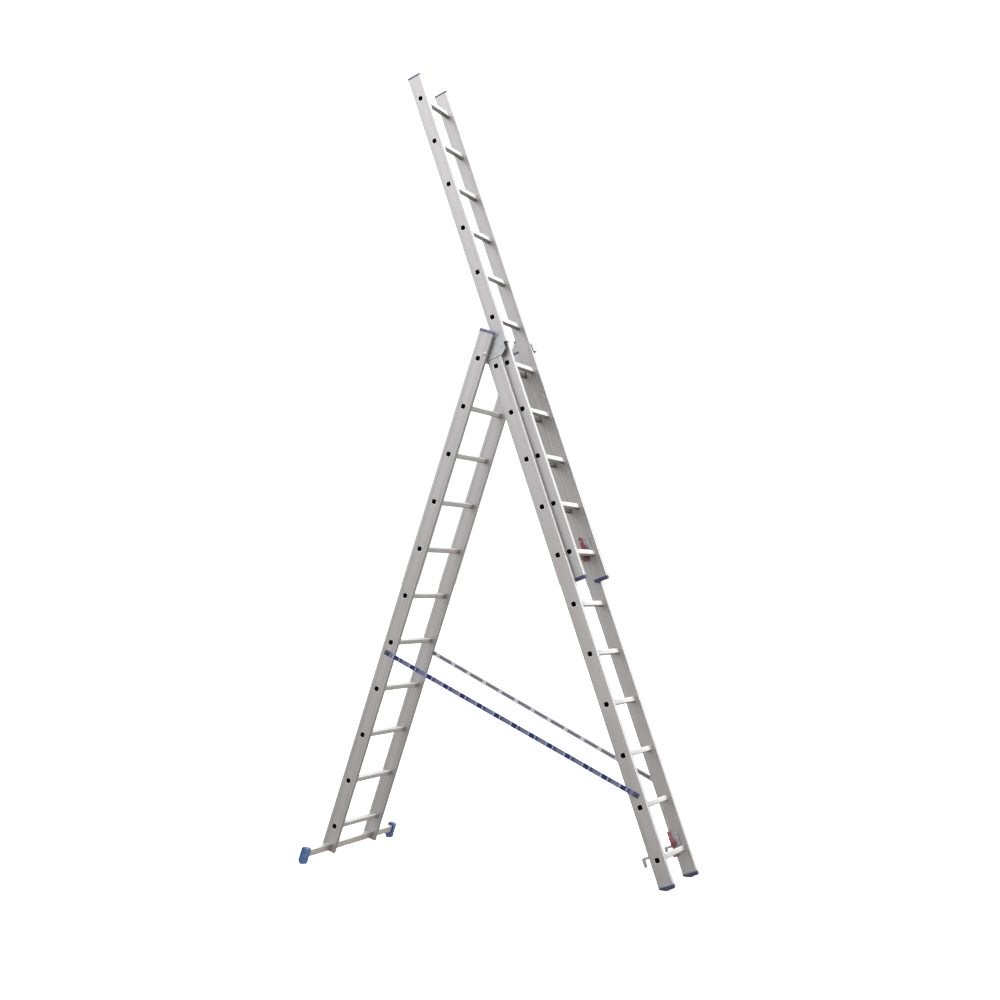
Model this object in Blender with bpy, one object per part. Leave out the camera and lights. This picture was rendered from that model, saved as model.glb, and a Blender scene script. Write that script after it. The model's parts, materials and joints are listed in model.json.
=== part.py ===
"""Three-section aluminium combination ladder, standing as a stepladder with its fly raised.

The rear leg (section A) and the front leg (section B) turn on a hinge near the top. The fly
(section C) slides up section B. Each section has its own frame: X across the stile's depth,
Y along the rungs and Z up the stile. Metres, +Z up.
"""
import math

import bmesh
import bpy
from mathutils import Matrix, Vector

# Rungs and section length
RUNGS = 11
PITCH = 0.28
RUNG_SIZE = 0.030
RUNG_CORNER = 0.006
RUNG_WALL = 0.002
STILE_THICK = 0.025
STILE_WALL = 0.002
GAP = 0.0003

# Widths over the stiles, and stile depths
WIDTH = {"a": 0.480, "b": 0.416, "c": 0.356}
DEPTH = {"a": 0.090, "b": 0.086, "c": 0.082}

# The A-frame hinge: its place, the legs' leans, and how far down the bottom rungs are
PIVOT_X = -0.0396
PIVOT_Z = 2.8513
LEAN_A = math.radians(18.60)
LEAN_B = math.radians(19.89)
PIVOT_TO_LINE = 0.031
A_DROP = 2.834
B_DROP = 2.882
BOLT_R = 0.006
BOLT_HOLE_R = 0.0066

# The fly
FLY_OFFSET = 0.058
FLY_RAISED = 6

# Stabiliser under section A
BAR_BELOW = 0.123
BAR_TALL = 0.040
BAR_DEEP = 0.030
BAR_HALF = 0.485
BAR_WALL = 0.002
FOOT_DEEP = 0.044
FOOT_IN = 0.464
FOOT_OUT = 0.496
FOOT_TOP = -0.088
FOOT_HEEL = -0.170
FOOT_FLAT = -0.006

# Feet of section B
SHOE_PROUD = 0.001
SHOE_CORE = 0.025
SHOE_HEEL = -0.141
SHOE_TOE = -0.158
SHOE_FLAT = (-0.034, -0.006)

# Hooks and safety latches
HOOK_THICK = 0.012
LATCH_THICK = 0.009
LATCH_PIVOT = (-0.036, 0.078)
PIN_R = 0.004
PIN_HOLE_R = 0.0048

# Guides at the top of section B
GUIDE_LOW = 2.845
GUIDE_HIGH = 2.958
GUIDE_STEEL = 0.003
GUIDE_PLATE = 0.088
GUIDE_REACH = 0.1055
GUIDE_TAB_LOW = 2.908
GUIDE_LIP_IN = 0.161

# Webbing straps, which stop the legs spreading
STRAP_WIDE = 0.028
STRAP_THICK = 0.0016
STRAP_UP_A = 1.055
STRAP_UP_B = 0.348
STRAP_PAST = 0.018
STRAP_LIFT_A = 0.0026
STRAP_LIFT_B = 0.0018

SIDES = {"left": -1, "right": 1}

# Each leg's turn about Y, where the pivot is across its stile, and how far up its frame
LEGS = {"a": (LEAN_A, PIVOT_TO_LINE, A_DROP), "b": (-LEAN_B, -PIVOT_TO_LINE, B_DROP)}

# Where each section's stiles end, above its top rung and below its bottom rung
STILE_ABOVE = {"a": 0.157, "b": 0.145, "c": 0.145}
STILE_LOW = {"a": -0.148, "b": -0.137, "c": -0.153}


def clear_scene():
    for item in list(bpy.data.objects):
        bpy.data.objects.remove(item, do_unlink=True)


def make_material(name, colour, roughness, metallic):
    material = bpy.data.materials.new(name)
    material.use_nodes = True
    shader = material.node_tree.nodes["Principled BSDF"]
    shader.inputs["Base Color"].default_value = (*colour, 1)
    shader.inputs["Roughness"].default_value = roughness
    shader.inputs["Metallic"].default_value = metallic
    return material


def make_materials():
    return {
        "stile": make_material("stile_aluminium", (0.60, 0.60, 0.61), 0.38, 1.0),
        "rung": make_material("rung_aluminium", (0.72, 0.71, 0.70), 0.34, 1.0),
        "steel": make_material("zinc_plated_steel", (0.50, 0.54, 0.56), 0.35, 1.0),
        "blue": make_material("blue_plastic", (0.03, 0.11, 0.30), 0.45, 0.0),
        "navy": make_material("dark_blue_rubber", (0.04, 0.05, 0.14), 0.60, 0.0),
        "red": make_material("red_plastic", (0.42, 0.03, 0.05), 0.40, 0.0),
        "webbing": make_material("blue_webbing", (0.12, 0.15, 0.36), 0.85, 0.0),
    }


def make_frame(name, place, turn, parent=None):
    frame = bpy.data.objects.new(name, None)
    bpy.context.collection.objects.link(frame)
    frame.location = place
    frame.rotation_euler = (0, turn, 0)
    frame.parent = parent
    return frame


def add_object(name, mesh, parent, material, place=(0, 0, 0)):
    thing = bpy.data.objects.new(name, mesh)
    bpy.context.collection.objects.link(thing)
    thing.parent = parent
    thing.location = place
    if material:
        mesh.materials.append(material)
    return thing


def faces_out(bm):
    bmesh.ops.recalc_face_normals(bm, faces=bm.faces)


def extrude_outline(bm, points, vector):
    """Adds a closed solid: the outline's points, moved along the vector."""
    low = [bm.verts.new(p) for p in points]
    face = bm.faces.new(low)
    grown = bmesh.ops.extrude_face_region(bm, geom=[face])
    moved = [v for v in grown["geom"] if isinstance(v, bmesh.types.BMVert)]
    bmesh.ops.translate(bm, verts=moved, vec=vector)


def outline_mesh(name, outline, low_y, high_y):
    """A plate whose outline is in X and Z, from low_y to high_y."""
    bm = bmesh.new()
    extrude_outline(bm, [(x, low_y, z) for x, z in outline], (0, high_y - low_y, 0))
    faces_out(bm)
    mesh = bpy.data.meshes.new(name)
    bm.to_mesh(mesh)
    bm.free()
    return mesh


def box_mesh(name, low, high):
    outline = [(low[0], low[2]), (high[0], low[2]), (high[0], high[2]), (low[0], high[2])]
    return outline_mesh(name, outline, low[1], high[1])


def circle(radius, centre=(0, 0), sides=12):
    turns = [2 * math.pi * (i + 0.5) / sides for i in range(sides)]
    return [(centre[0] + radius * math.cos(t), centre[1] + radius * math.sin(t)) for t in turns]


def rounded(points, radii, steps=3):
    """The outline with each corner replaced by an arc of its radius."""
    result = []
    for i, corner in enumerate(points):
        here = Vector(corner)
        back = (Vector(points[i - 1]) - here).normalized()
        on = (Vector(points[(i + 1) % len(points)]) - here).normalized()
        if radii[i] <= 0:
            result.append(tuple(here))
            continue
        half = back.angle(on) / 2
        start = here + back * radii[i] / math.tan(half)
        end = here + on * radii[i] / math.tan(half)
        centre = here + (back + on).normalized() * radii[i] / math.sin(half)
        for k in range(steps + 1):
            spoke = (start - centre).lerp(end - centre, k / steps).normalized()
            result.append(tuple(centre + spoke * radii[i]))
    return result


def rung_outline(half, centre=(0, 0)):
    """A square with cut corners, the section of a rung."""
    cut = half - RUNG_CORNER
    ring = [(half, cut), (cut, half), (-cut, half), (-half, cut)]
    ring += [(-x, -z) for x, z in ring]
    return [(centre[0] + x, centre[1] + z) for x, z in ring]


def cut_away(thing, name, meshes):
    """Cuts the meshes, joined in one hidden cutter, out of the object."""
    bm = bmesh.new()
    for mesh in meshes:
        bm.from_mesh(mesh)
    joined = bpy.data.meshes.new(name)
    bm.to_mesh(joined)
    bm.free()
    cutter = add_object(name, joined, thing.parent, None, thing.location)
    cutter.hide_render = True
    cutter.display_type = "WIRE"
    boolean = thing.modifiers.new(name, "BOOLEAN")
    boolean.operation = "DIFFERENCE"
    boolean.solver = "EXACT"
    boolean.object = cutter


def add_on(thing, name, mesh):
    """Joins the mesh to the object as one solid."""
    extra = add_object(name, mesh, thing.parent, None, thing.location)
    extra.hide_render = True
    extra.display_type = "WIRE"
    boolean = thing.modifiers.new(name, "BOOLEAN")
    boolean.operation = "UNION"
    boolean.solver = "EXACT"
    boolean.object = extra


def rung_height(number):
    """Rung 1 is the top one."""
    return (RUNGS - number) * PITCH


def stile_span(section, side):
    """The stile's inner and outer faces in Y, sorted."""
    outer = SIDES[side] * WIDTH[section] / 2
    inner = outer - SIDES[side] * STILE_THICK
    return min(inner, outer), max(inner, outer)


def make_stile(section, side, parent, material, extra_cuts):
    name = f"stile_{section}_{side}"
    low_y, high_y = stile_span(section, side)
    half = DEPTH[section] / 2
    top = rung_height(1) + STILE_ABOVE[section]
    low = STILE_LOW[section]
    stile = add_object(name, box_mesh(name, (-half, low_y, low), (half, high_y, top)), parent, material)
    inside = box_mesh(
        name + "_inside",
        (-half + STILE_WALL, low_y + STILE_WALL, low - 0.01),
        (half - STILE_WALL, high_y - STILE_WALL, top + 0.01),
    )
    cut_away(stile, name + "_hollow", [inside])
    holes = []
    for number in range(1, RUNGS + 1):
        outline = rung_outline(RUNG_SIZE / 2 + GAP, (0, rung_height(number)))
        holes.append(outline_mesh(f"{name}_hole_{number}", outline, low_y - 0.01, high_y + 0.01))
    for outline in extra_cuts:
        holes.append(outline_mesh(name + "_cut", outline, low_y - 0.01, high_y + 0.01))
    cut_away(stile, name + "_holes", holes)
    return stile


def rung_mesh(section):
    """A square tube with cut corners, open at both ends, centred on its own origin."""
    half = WIDTH[section] / 2 - GAP
    bm = bmesh.new()
    rings = []
    for size in (RUNG_SIZE / 2, RUNG_SIZE / 2 - RUNG_WALL):
        cut = rung_outline(size)
        for y in (-half, half):
            rings.append([bm.verts.new((x, y, z)) for x, z in cut])
    outer_low, outer_high, inner_low, inner_high = rings
    count = len(outer_low)
    for i in range(count):
        j = (i + 1) % count
        bm.faces.new((outer_low[i], outer_low[j], outer_high[j], outer_high[i]))
        bm.faces.new((inner_low[i], inner_high[i], inner_high[j], inner_low[j]))
        bm.faces.new((outer_low[i], inner_low[i], inner_low[j], outer_low[j]))
        bm.faces.new((outer_high[i], outer_high[j], inner_high[j], inner_high[i]))
    faces_out(bm)
    mesh = bpy.data.meshes.new(f"rung_{section}")
    bm.to_mesh(mesh)
    bm.free()
    return mesh


def make_rungs(section, parent, material):
    mesh = rung_mesh(section)
    mesh.materials.append(material)
    for number in range(1, RUNGS + 1):
        place = (0, 0, rung_height(number))
        add_object(f"rung_{section}_{number:02d}", mesh, parent, None, place)


def rectangle(centre, half_x, half_z):
    x, z = centre
    corners = [(-1, -1), (1, -1), (1, 1), (-1, 1)]
    return [(x + across * half_x, z + up * half_z) for across, up in corners]


def floor_height(leg, across):
    """Where the floor is, measured up the leg's own frame, at a distance across the stile."""
    lean, pivot_across, drop = LEGS[leg]
    from_pivot = across - pivot_across
    return drop + (from_pivot * math.sin(lean) - PIVOT_Z) / math.cos(lean)


def leg_point(leg, across, y, up):
    """A point of a leg's frame, in the object's frame."""
    lean, pivot_across, drop = LEGS[leg]
    turn = Matrix.Rotation(lean, 3, "Y")
    return Vector((PIVOT_X, 0, PIVOT_Z)) + turn @ Vector((across - pivot_across, y, up - drop))


def make_stabiliser(parent, materials):
    half_x = BAR_DEEP / 2
    half_z = BAR_TALL / 2
    low = (-half_x, -BAR_HALF, -BAR_BELOW - half_z)
    high = (half_x, BAR_HALF, -BAR_BELOW + half_z)
    bar = add_object("stabiliser_bar", box_mesh("stabiliser_bar", low, high), parent, materials["stile"])
    inside = box_mesh(
        "stabiliser_inside",
        (low[0] + BAR_WALL, low[1] - 0.01, low[2] + BAR_WALL),
        (high[0] - BAR_WALL, high[1] + 0.01, high[2] - BAR_WALL),
    )
    cut_away(bar, "stabiliser_hollow", [inside])
    for side, sign in SIDES.items():
        make_stabiliser_foot(side, sign, parent, materials["blue"])


def make_stabiliser_foot(side, sign, parent, material):
    """A block on the bar's end, flat on the floor at the front and cut up at the back."""
    half = FOOT_DEEP / 2
    outline = [
        (-half, FOOT_HEEL),
        (FOOT_FLAT, floor_height("a", FOOT_FLAT)),
        (half, floor_height("a", half)),
        (half, FOOT_TOP),
        (-half, FOOT_TOP),
    ]
    outline = rounded(outline, [0.006, 0, 0.004, 0.012, 0.012])
    low_y, high_y = sorted((sign * FOOT_IN, sign * FOOT_OUT))
    name = f"stabiliser_foot_{side}"
    foot = add_object(name, outline_mesh(name, outline, low_y, high_y), parent, material)
    socket = rectangle((0, -BAR_BELOW), BAR_DEEP / 2 + GAP, BAR_TALL / 2 + GAP)
    mouth, back = sorted((sign * (FOOT_IN - 0.01), sign * (BAR_HALF + GAP)))
    cut_away(foot, name + "_socket", [outline_mesh(name + "_pocket", socket, mouth, back)])


def make_shoe(side, parent, material):
    """The plastic foot of one stile of section B: a sole, flat on the floor at the back, and a core."""
    low_y, high_y = stile_span("b", side)
    half = DEPTH["b"] / 2 + SHOE_PROUD
    top = STILE_LOW["b"] - GAP
    back, front = SHOE_FLAT
    outline = [
        (-half, top),
        (-half, SHOE_HEEL),
        (back, floor_height("b", back)),
        (front, floor_height("b", front)),
        (half, SHOE_TOE),
        (half, top),
    ]
    outline = rounded(outline, [0, 0.004, 0.020, 0.020, 0.009, 0])
    name = f"foot_b_{side}"
    mesh = outline_mesh(name, outline, low_y - SHOE_PROUD, high_y + SHOE_PROUD)
    shoe = add_object(name, mesh, parent, material)
    inset = STILE_WALL + 2 * GAP
    core = box_mesh(
        name + "_core",
        (-DEPTH["b"] / 2 + inset, low_y + inset, top - 0.003),
        (DEPTH["b"] / 2 - inset, high_y - inset, top + SHOE_CORE),
    )
    add_on(shoe, name + "_plug", core)


def turned_mesh(name, profile, sides=12):
    """A solid turned about Y, from (y, radius) pairs along its length."""
    bm = bmesh.new()
    rings = []
    for y, radius in profile:
        rings.append([bm.verts.new((x, y, z)) for x, z in circle(radius, sides=sides)])
    for low, high in zip(rings, rings[1:]):
        for i in range(sides):
            j = (i + 1) % sides
            bm.faces.new((low[i], low[j], high[j], high[i]))
    bm.faces.new(rings[0])
    bm.faces.new(rings[-1])
    faces_out(bm)
    mesh = bpy.data.meshes.new(name)
    bm.to_mesh(mesh)
    bm.free()
    return mesh


def make_hinge_bolt(side, parent, material):
    """Head outside section A, a spacer between the sections and a nut inside section B."""
    sign = SIDES[side]
    outer = WIDTH["a"] / 2 + GAP
    spacer_out = WIDTH["a"] / 2 - STILE_THICK - GAP
    spacer_in = WIDTH["b"] / 2 + GUIDE_STEEL + 2 * GAP
    nut = WIDTH["b"] / 2 - STILE_THICK - GAP
    profile = [
        (outer + 0.007, 0.0095),
        (outer + 0.0015, 0.0095),
        (outer + 0.0015, 0.0125),
        (outer, 0.0125),
        (outer, BOLT_R),
        (spacer_out, BOLT_R),
        (spacer_out, 0.0125),
        (spacer_in, 0.0125),
        (spacer_in, BOLT_R),
        (nut, BOLT_R),
        (nut, 0.0095),
        (nut - 0.006, 0.0095),
    ]
    mesh = turned_mesh(f"hinge_bolt_{side}", [(sign * y, radius) for y, radius in profile])
    add_object(f"hinge_bolt_{side}", mesh, parent, material, (PIVOT_TO_LINE, 0, A_DROP))


def make_guide(side, parent, material):
    """A steel plate on the stile of section B, with a lip round the front of the fly's stile."""
    sign = SIDES[side]
    half = DEPTH["b"] / 2
    inner = WIDTH["b"] / 2 + GAP
    outer = inner + GUIDE_STEEL
    outline = [
        (-half, GUIDE_LOW),
        (half + 0.012, GUIDE_LOW),
        (GUIDE_PLATE, GUIDE_LOW + 0.026),
        (GUIDE_PLATE, GUIDE_TAB_LOW),
        (GUIDE_REACH, GUIDE_TAB_LOW),
        (GUIDE_REACH, GUIDE_HIGH),
        (-half, GUIDE_HIGH),
    ]
    outline = rounded(outline, [0.006, 0.010, 0.010, 0.003, 0, 0, 0.006])
    low_y, high_y = sorted((sign * inner, sign * outer))
    name = f"guide_{side}"
    guide = add_object(name, outline_mesh(name, outline, low_y, high_y), parent, material)
    lip_low, lip_high = sorted((sign * GUIDE_LIP_IN, sign * outer))
    lip = box_mesh(
        name + "_lip_mesh",
        (GUIDE_REACH - GUIDE_STEEL, lip_low, GUIDE_TAB_LOW),
        (GUIDE_REACH, lip_high, GUIDE_HIGH),
    )
    add_on(guide, name + "_lip", lip)
    bolt_hole = circle(BOLT_HOLE_R, (-PIVOT_TO_LINE, B_DROP))
    cut_away(guide, name + "_hole", [outline_mesh(name + "_bolt", bolt_hole, low_y - 0.01, high_y + 0.01)])


def make_hook(section, side, parent, material):
    """A steel hook on the stile's inner face, open downward, and the pin its latch turns on."""
    sign = SIDES[side]
    face = WIDTH[section] / 2 - STILE_THICK - GAP
    low_y, high_y = sorted((sign * (face - HOOK_THICK), sign * face))
    outline = [
        (0.006, 0.0175),
        (0.006, 0.094),
        (-0.042, 0.094),
        (-0.0445, 0.0315),
        (-0.0925, 0.0305),
        (-0.0925, -0.020),
        (-0.0800, -0.024),
        (-0.0755, -0.012),
        (-0.0755, 0.0165),
        (-0.0405, 0.0165),
    ]
    outline = rounded(outline, [0.004, 0.006, 0.010, 0.002, 0.008, 0.004, 0.004, 0, 0.003, 0], steps=2)
    name = f"hook_{section}_{side}"
    hook = add_object(name, outline_mesh(name, outline, low_y, high_y), parent, material)
    tip = face - HOOK_THICK - LATCH_THICK - 0.002
    pin_low, pin_high = sorted((sign * tip, sign * (face - 0.004)))
    add_on(hook, name + "_pin", outline_mesh(name + "_stud", circle(PIN_R, LATCH_PIVOT), pin_low, pin_high))


def make_latch(section, side, parent, material):
    """A lever on the hook's pin, with a broad thumb pad and a toe under the rung that the hook holds."""
    sign = SIDES[side]
    face = WIDTH[section] / 2 - STILE_THICK - GAP
    near = face - HOOK_THICK - GAP
    low_y, high_y = sorted((sign * (near - LATCH_THICK), sign * near))
    outline = [
        (-0.0310, -0.036),
        (-0.0310, 0.018),
        (-0.0130, 0.024),
        (-0.0130, 0.042),
        (-0.0280, 0.064),
        (-0.0275, 0.094),
        (-0.0320, 0.106),
        (-0.0445, 0.104),
        (-0.0450, 0.024),
        (-0.0415, 0.020),
        (-0.0415, -0.0170),
        (-0.0560, -0.0175),
        (-0.0560, -0.028),
        (-0.0440, -0.036),
    ]
    right_radii = [0.004, 0, 0.004, 0.007, 0.008, 0.006, 0.004]
    left_radii = [0.005, 0, 0, 0, 0.002, 0.003, 0.004]
    outline = rounded(outline, right_radii + left_radii, steps=2)
    outline = [(x - LATCH_PIVOT[0], z - LATCH_PIVOT[1]) for x, z in outline]
    name = f"latch_{section}_{side}"
    place = (LATCH_PIVOT[0], 0, LATCH_PIVOT[1])
    latch = add_object(name, outline_mesh(name, outline, low_y, high_y), parent, material, place)
    hole = outline_mesh(name + "_bore", circle(PIN_HOLE_R), low_y - 0.01, high_y + 0.01)
    cut_away(latch, name + "_hole", [hole])


def make_top_cap(side, parent, material):
    """A plastic plug on the fly's stile end: a plate with a core that goes inside the stile."""
    low_y, high_y = stile_span("c", side)
    half = DEPTH["c"] / 2
    top = rung_height(1) + STILE_ABOVE["c"]
    name = f"cap_c_top_{side}"
    plate = [(-half, top + GAP), (half, top + GAP), (half, top + 0.008), (-half, top + 0.008)]
    plate = rounded(plate, [0, 0, 0.005, 0.005])
    cap = add_object(name, outline_mesh(name, plate, low_y, high_y), parent, material)
    inset = STILE_WALL + 2 * GAP
    core = box_mesh(
        name + "_core",
        (-half + inset, low_y + inset, top - 0.020),
        (half - inset, high_y - inset, top + 0.003),
    )
    add_on(cap, name + "_plug", core)


def make_strap(side, material):
    """A taut flat strap on the outer faces, from section A down to section B."""
    sign = SIDES[side]
    start = leg_point("a", 0, sign * (WIDTH["a"] / 2 + STRAP_LIFT_A), STRAP_UP_A)
    end = leg_point("b", 0, sign * (WIDTH["b"] / 2 + STRAP_LIFT_B), STRAP_UP_B)
    along = (end - start).normalized()
    start -= along * STRAP_PAST
    end += along * STRAP_PAST
    wide = along.cross(Vector((0, 1, 0))).normalized() * STRAP_WIDE / 2
    thick = along.cross(wide).normalized() * STRAP_THICK
    corners = [start - wide, start + wide, end + wide, end - wide]
    bm = bmesh.new()
    extrude_outline(bm, [c - thick / 2 for c in corners], thick)
    faces_out(bm)
    mesh = bpy.data.meshes.new(f"strap_{side}")
    bm.to_mesh(mesh)
    bm.free()
    add_object(f"strap_{side}", mesh, None, material)


def make_section(section, parent, materials, extra_cuts):
    for side in SIDES:
        make_stile(section, side, parent, materials["stile"], extra_cuts)
    make_rungs(section, parent, materials["rung"])


def build():
    clear_scene()
    materials = make_materials()
    hinge_a = make_frame("hinge_a", (PIVOT_X, 0, PIVOT_Z), LEAN_A)
    hinge_b = make_frame("hinge_b", (PIVOT_X, 0, PIVOT_Z), -LEAN_B)
    section_a = make_frame("section_a", (-PIVOT_TO_LINE, 0, -A_DROP), 0, hinge_a)
    section_b = make_frame("section_b", (PIVOT_TO_LINE, 0, -B_DROP), 0, hinge_b)
    section_c = make_frame("section_c", (FLY_OFFSET, 0, FLY_RAISED * PITCH), 0, section_b)

    bar_window = rectangle((0, -BAR_BELOW), BAR_DEEP / 2 + GAP, BAR_TALL / 2 + GAP)
    make_section("a", section_a, materials, [bar_window, circle(BOLT_HOLE_R, (PIVOT_TO_LINE, A_DROP))])
    make_section("b", section_b, materials, [circle(BOLT_HOLE_R, (-PIVOT_TO_LINE, B_DROP))])
    make_section("c", section_c, materials, [])
    make_stabiliser(section_a, materials)
    for side in SIDES:
        make_shoe(side, section_b, materials["navy"])
        make_hinge_bolt(side, section_a, materials["steel"])
        make_guide(side, section_b, materials["steel"])
        make_strap(side, materials["webbing"])
        make_top_cap(side, section_c, materials["blue"])
        for section, frame in (("b", section_b), ("c", section_c)):
            make_hook(section, side, frame, materials["steel"])
            make_latch(section, side, frame, materials["red"])


build()
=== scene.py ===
"""Looks of the three-section aluminium ladder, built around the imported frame.

Each section (a: rear leg, b: front leg, c: fly) has its own frame, read from its rungs: X across
the stiles, Y along the rungs and Z up the stiles, from the bottom rung's centre. Metres.
"""
import json
import math

import bmesh
import bpy
from mathutils import Matrix, Vector
from mathutils.bvhtree import BVHTree


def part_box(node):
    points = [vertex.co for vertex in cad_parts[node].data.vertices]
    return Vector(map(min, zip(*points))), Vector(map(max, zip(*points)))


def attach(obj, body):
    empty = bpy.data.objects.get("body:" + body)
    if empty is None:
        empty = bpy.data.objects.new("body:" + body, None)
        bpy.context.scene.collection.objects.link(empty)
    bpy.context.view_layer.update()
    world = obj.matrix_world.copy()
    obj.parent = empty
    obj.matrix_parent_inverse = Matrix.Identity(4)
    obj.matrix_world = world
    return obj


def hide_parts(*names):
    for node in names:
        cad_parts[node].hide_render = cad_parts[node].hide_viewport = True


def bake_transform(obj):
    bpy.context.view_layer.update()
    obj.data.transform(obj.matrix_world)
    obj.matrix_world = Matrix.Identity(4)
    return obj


# Stiles and rungs; each groove is (share along its side, width, depth), and a depth below 0 is a ridge
STILE_CORNER = 0.0035
STILE_WALL = 0.002
FACE_GROOVES = (
    (0.17, 0.0022, 0.0006),
    (0.235, 0.0016, 0.0005),
    (0.765, 0.0016, 0.0005),
    (0.83, 0.0022, 0.0006),
)
EDGE_GROOVES = ((0.3, 0.0014, 0.0005), (0.5, 0.0014, 0.0005), (0.7, 0.0014, 0.0005))
RUNG_CORNER = 0.0055
RUNG_WALL = 0.0016
BORE_CORNER = 0.0070
TREAD_GROOVES = tuple((share / 8, 0.0013, 0.0006) for share in range(1, 8))
SIDE_GROOVES = ((0.3, 0.0014, 0.0004), (0.7, 0.0014, 0.0004))
HOLE_SLACK = 0.0002
CUT_PAST = 0.01  # how far a cutter reaches past what it cuts
LIP_PROUD = 0.0007
LIP_WIDE = 0.0012
BEAD_WIDE = 0.0013
BEAD_LONG = 0.0045

# End caps
CAP_THICK = {"a": 0.0110, "b": 0.0080, "c": 0.0066}
CAP_SKIRT = 0.0075
CAP_PROUD = 0.0008
CAP_EDGE = 0.0026
CAP_GAP = 0.0003
FLY_SOLE_THICK = 0.0115
SKIRT_TALL = 0.008
SKIRT_PROUD = 0.0008

# Feet and the stabiliser bar
SOLE_GROOVES = {"b": 7, "a": 5}
SOLE_GROOVE_WIDE = 0.0022
SOLE_GROOVE_DEEP = 0.0016
END_GROOVES = (0.20, 0.35, 0.50, 0.65, 0.80)
END_GROOVE_WIDE = 0.0026
END_GROOVE_DEEP = 0.0012
END_GROOVE_ABOVE = 0.026
END_GROOVE_BELOW = 0.014
BAR_CORNER = 0.0030
BAR_BORE_CORNER = 0.0015
BAR_GROOVES = ((0.32, 0.0018, 0.0005), (0.68, 0.0018, 0.0005))

# Edges of the CAD shapes that are rounded here
FOOT_EDGE = 0.0014
GUIDE_EDGE = 0.0007
HOOK_EDGE = 0.0010
LATCH_EDGE = 0.0012

# Hinge bolts: the heads' (height, radius) pairs, and the radii of the rest
BOLT_HEAD = (
    (0.0003, 0.0115), (0.0010, 0.0115), (0.0013, 0.0104),
    (0.0020, 0.0094), (0.0026, 0.0066), (0.0028, 0.0008),
)
BOLT_SHANK_R = 0.0058
SPACER_R = 0.0124
SPACER_END_R = 0.0118
SPACER_EDGE = 0.0006
NUT_R = 0.0092
NUT_END_R = 0.0078
STILE_THICK = 0.025
FIT = 0.0003
SPACER_GAP = 0.0034

# Rivets, hooks and latches: places across and up the section, or from the latch pin and its low end
RIVET_R = 0.0042
RIVET_TALL = 0.0018
GUIDE_RIVETS = ((0.30, 0.16), (0.68, 0.16), (0.68, 0.84))
HOOK_RIVETS = ((-0.006, 0.062), (-0.006, 0.084))
HOOK_RIVET_R = 0.0046
HOOK_FACE = 0.0123
# (how far inside the end of the pin, radius)
PIN_HEAD = ((0.0016, 0.0048), (0.0006, 0.0052), (-0.0001, 0.0048), (-0.0002, 0.0010))
LATCH_PROUD = 0.0009
LATCH_RIB_HALF = 0.0011
LATCH_RIB_SPAN = (-0.0060, 0.0185)
LATCH_RIB_LOW = 0.0635
LATCH_RIB_STEP = 0.0055
LATCH_RIBS = 3
LATCH_RIDGES = (-0.0025, 0.0015)
LATCH_RIDGE_HALF = 0.0008
LATCH_RIDGE_SPAN = (0.010, 0.052)

# Straps: the length of the colour pattern, the dark ends, the form and the weave
STRAP_PITCH = 0.1155
STRAP_END = 0.034
STRAP_THICK = 0.0016
STRAP_STEPS = 160
STRAP_RIPPLE = 0.0005
STRAP_WAVES = 47.0
STRAP_CUP = 2.2
STRAP_GROOVES = ((0.25, 0.002, -0.0001), (0.75, 0.002, -0.0001))
SCREW_IN = 0.018
WEAVE = 0.0011
WARP_PAIRS = 13

SIDES = {"left": -1, "right": 1}
SMOOTH_ANGLE = math.radians(35)
SHARP_ANGLE = math.radians(50)
DUST = (0.13, 0.14, 0.16)
FLOOR_REACH = 600

# Camera, from the hinge axis of the A-frame
CAMERA_FROM_HINGE = Vector((3.5117, -7.3225, -1.2673))
CAMERA_YAW = math.radians(25.694)
CAMERA_PITCH = math.radians(3.281)
CAMERA_ROLL = math.radians(0.492)
CAMERA_LENS = 51.49
CAMERA_SENSOR = 36.0
WORLD_STRENGTH = 4.3

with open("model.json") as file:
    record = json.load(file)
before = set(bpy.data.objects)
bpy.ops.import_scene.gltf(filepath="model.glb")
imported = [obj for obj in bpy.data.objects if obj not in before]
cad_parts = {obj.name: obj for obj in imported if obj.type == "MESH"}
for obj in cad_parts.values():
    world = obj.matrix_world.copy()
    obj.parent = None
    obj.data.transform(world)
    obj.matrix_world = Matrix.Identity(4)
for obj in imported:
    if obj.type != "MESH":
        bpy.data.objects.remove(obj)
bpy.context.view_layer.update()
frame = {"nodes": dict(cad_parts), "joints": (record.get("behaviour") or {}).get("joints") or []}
nodes = frame["nodes"]
RUNGS = sum(name.startswith("rung_a_") for name in nodes)


# ---------------------------------------------------------------- the frame's measures


def centre(node):
    """The middle of a CAD node's box, in the world."""
    low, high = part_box(node)
    return (low + high) / 2


def section_place(section):
    """The section's frame as a matrix."""
    bottom = centre(f"rung_{section}_{RUNGS:02d}")
    up = (centre(f"rung_{section}_01") - bottom).normalized()
    along = Vector((0, 1, 0))
    place = Matrix((along.cross(up), along, up)).transposed().to_4x4()
    place.translation = bottom
    return place


def local_box(node, place):
    """(lowest corner, highest corner) of a CAD node in a section's frame."""
    inverse = place.inverted()
    points = [inverse @ v.co for v in nodes[node].data.vertices]
    low = Vector([min(p[i] for p in points) for i in range(3)])
    high = Vector([max(p[i] for p in points) for i in range(3)])
    return low, high


def outer_y(low, high, sign):
    """Y of the side of a box that faces out of the ladder."""
    return high.y if sign > 0 else low.y


def inner_y(low, high, sign):
    """Y of the side of a box that faces the ladder's middle."""
    return low.y if sign > 0 else high.y


PLACES = {section: section_place(section) for section in "abc"}
HINGE = Vector(next(j["pos_m"] for j in frame["joints"] if j["name"] == "frame_hinge"))


# ---------------------------------------------------------------- meshes


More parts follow.
